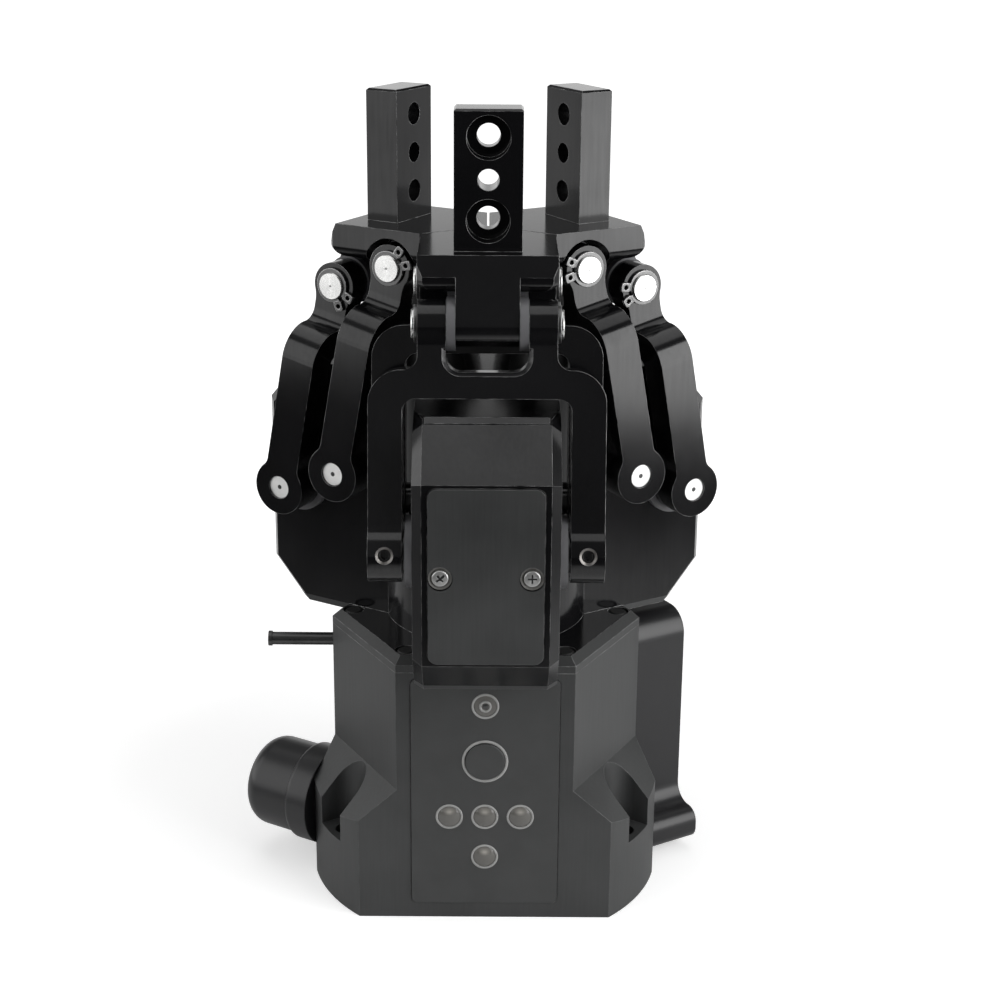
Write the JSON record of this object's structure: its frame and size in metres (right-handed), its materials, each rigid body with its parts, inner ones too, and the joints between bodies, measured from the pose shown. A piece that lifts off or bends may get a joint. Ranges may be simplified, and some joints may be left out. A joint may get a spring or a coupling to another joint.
{
  "type": "three-jaw gripper",
  "caption": "Electric robot gripper: jaws with upright drilled fingers on parallelogram links around a faceted housing with a control panel.",
  "frame": {"origin": "centre of the bolt circle on the bottom mounting face", "axes": "+Z from the mounting face towards the fingers, -Y towards the front jaw and the control panel"},
  "size_m": [0.1244, 0.1084, 0.2069],
  "materials": {
    "black_link": "black anodised, satin",
    "black_body": "black anodised, fine matt",
    "black_panel": "fine matt",
    "steel": "bright turned",
    "dark_steel": "blackened",
    "grey_polymer": "matt",
    "black_plastic": "satin",
    "lens_grey": "clear grey",
    "board_green": "solder resist",
    "brass": "turned"
  },
  "bodies": {
    "base": {"base_housing": "black_body", "bottom_cover": "black_body", "bottom_screws": "steel", "motor": "dark_steel", "motor_screws": "steel", "gear_head": "black_link", "head_screws": "dark_steel", "case_cover_front": "black_body", "case_cover_right": "black_body", "case_cover_left": "black_body", "cover_screws": "steel", "shaft_bushes": "grey_polymer", "follower_axles": "steel", "screw_bearing": "steel", "guide_rods": "steel", "control_panel": "black_panel", "indicator_lenses": "lens_grey", "controller_board": "board_green", "release_switch": "black_plastic", "connector_housing": "black_plastic", "cable_post": "dark_steel", "cable_entry": "black_plastic"},
    "drive_arm_front": {"drive_yoke_front": "black_link", "drive_shaft_front": "steel", "sector_gear_front": "steel", "set_screws_front": "dark_steel"},
    "follower_arm_front": {"follower_yoke_front": "black_link"},
    "jaw_front": {"jaw_front": "black_link", "pivot_pins_front": "steel", "retaining_rings_front": "steel", "thrust_washers_front": "grey_polymer"},
    "drive_arm_right": {"drive_yoke_right": "black_link", "drive_shaft_right": "steel", "sector_gear_right": "steel", "set_screws_right": "dark_steel"},
    "follower_arm_right": {"follower_yoke_right": "black_link"},
    "jaw_right": {"jaw_right": "black_link", "pivot_pins_right": "steel", "retaining_rings_right": "steel", "thrust_washers_right": "grey_polymer"},
    "drive_arm_left": {"drive_yoke_left": "black_link", "drive_shaft_left": "steel", "sector_gear_left": "steel", "set_screws_left": "dark_steel"},
    "follower_arm_left": {"follower_yoke_left": "black_link"},
    "jaw_left": {"jaw_left": "black_link", "pivot_pins_left": "steel", "retaining_rings_left": "steel", "thrust_washers_left": "grey_polymer"},
    "rack": {"ring_rack": "steel", "screw_nut": "brass"},
    "drive_screw": {"drive_screw": "steel"},
    "release_button": {"release_button": "black_plastic"}
  },
  "joints": [
    {"name": "front_swing", "type": "hinge", "parent": "base", "child": "drive_arm_front", "pos_m": [0, -0.04607, 0.10583], "axis": [1, 0, 0], "range_deg": [0, 50]},
    {"name": "front_follower_swing", "type": "hinge", "parent": "base", "child": "follower_arm_front", "pos_m": [0, -0.02931, 0.11223], "axis": [1, 0, 0], "range_deg": [0, 50]},
    {"name": "front_jaw_level", "type": "hinge", "parent": "drive_arm_front", "child": "jaw_front", "pos_m": [0, -0.03552, 0.15817], "axis": [1, 0, 0], "range_deg": [-50, 0]},
    {"name": "right_swing", "type": "hinge", "parent": "base", "child": "drive_arm_right", "pos_m": [0.0399, 0.02303, 0.10583], "axis": [-0.5, 0.866, 0], "range_deg": [0, 50]},
    {"name": "right_follower_swing", "type": "hinge", "parent": "base", "child": "follower_arm_right", "pos_m": [0.02538, 0.01465, 0.11223], "axis": [-0.5, 0.866, 0], "range_deg": [0, 50]},
    {"name": "right_jaw_level", "type": "hinge", "parent": "drive_arm_right", "child": "jaw_right", "pos_m": [0.03076, 0.01776, 0.15817], "axis": [-0.5, 0.866, 0], "range_deg": [-50, 0]},
    {"name": "left_swing", "type": "hinge", "parent": "base", "child": "drive_arm_left", "pos_m": [-0.0399, 0.02303, 0.10583], "axis": [-0.5, -0.866, 0], "range_deg": [0, 50]},
    {"name": "left_follower_swing", "type": "hinge", "parent": "base", "child": "follower_arm_left", "pos_m": [-0.02538, 0.01465, 0.11223], "axis": [-0.5, -0.866, 0], "range_deg": [0, 50]},
    {"name": "left_jaw_level", "type": "hinge", "parent": "drive_arm_left", "child": "jaw_left", "pos_m": [-0.03076, 0.01776, 0.15817], "axis": [-0.5, -0.866, 0], "range_deg": [-50, 0]},
    {"name": "rack_slide", "type": "slide", "parent": "base", "child": "rack", "axis": [0, 0, 1], "range_m": [0, 0.0228]},
    {"name": "drive_screw_spin", "type": "hinge", "parent": "base", "child": "drive_screw", "pos_m": [0, 0, 0.1], "axis": [0, 0, 1], "range_deg": [-821, 0]},
    {"name": "release_press", "type": "slide", "parent": "base", "child": "release_button", "axis": [0, 1, 0], "range_m": [0, 0.0008], "stiffness_N_per_m": 500}
  ],
  "couplings": [
    {"joint": "front_follower_swing", "follows": "front_swing", "ratio": 1},
    {"joint": "front_jaw_level", "follows": "front_swing", "ratio": -1},
    {"joint": "right_swing", "follows": "front_swing", "ratio": 1},
    {"joint": "right_follower_swing", "follows": "front_swing", "ratio": 1},
    {"joint": "right_jaw_level", "follows": "front_swing", "ratio": -1},
    {"joint": "left_swing", "follows": "front_swing", "ratio": 1},
    {"joint": "left_follower_swing", "follows": "front_swing", "ratio": 1},
    {"joint": "left_jaw_level", "follows": "front_swing", "ratio": -1},
    {"joint": "rack_slide", "follows": "front_swing", "m_per_rad": 0.02607},
    {"joint": "drive_screw_spin", "follows": "front_swing", "ratio": -16.38}
  ]
}
